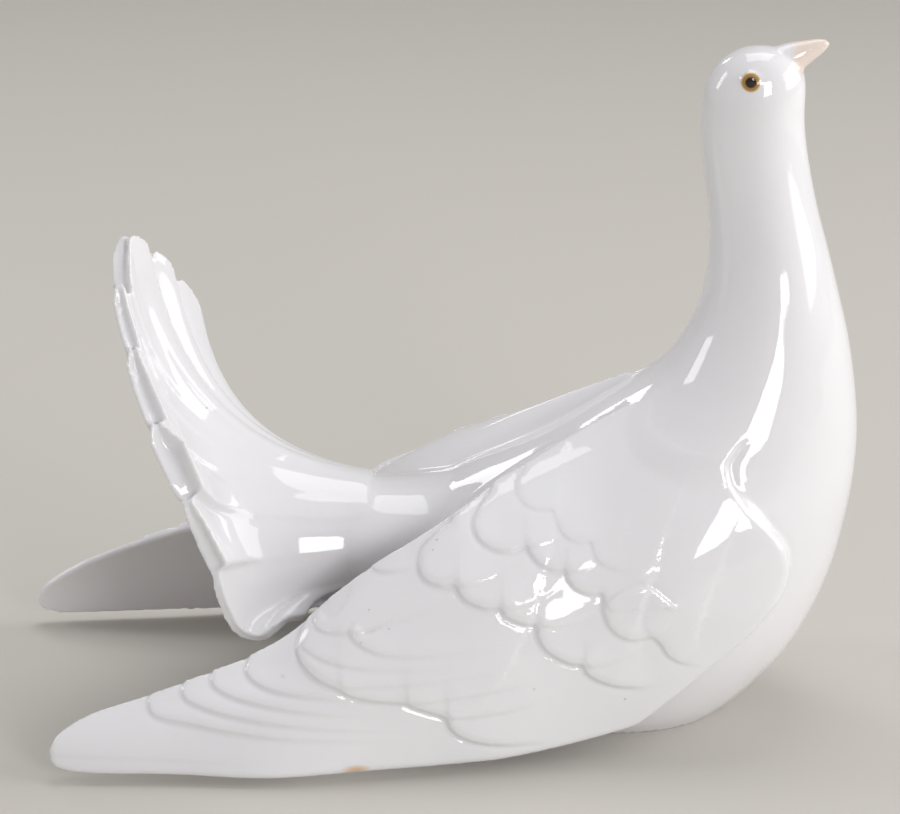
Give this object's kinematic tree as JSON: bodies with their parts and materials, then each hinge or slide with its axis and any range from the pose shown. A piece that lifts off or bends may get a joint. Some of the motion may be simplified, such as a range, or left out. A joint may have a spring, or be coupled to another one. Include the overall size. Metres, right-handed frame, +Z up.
{
  "type": "dove statue",
  "caption": "White glazed porcelain dove with a long raised neck, lowered feathered wings and a raised fan tail, resting on its belly.",
  "frame": {"origin": "at the level of the flat underside, below the middle of the bird's outline", "axes": "+X points the way the bird faces, +Y to the bird's left, +Z up"},
  "size_m": [0.303, 0.161, 0.2447],
  "materials": {
    "glazed_porcelain": "gloss"
  },
  "bodies": {
    "root": {"dove": "glazed_porcelain"}
  },
  "joints": []
}
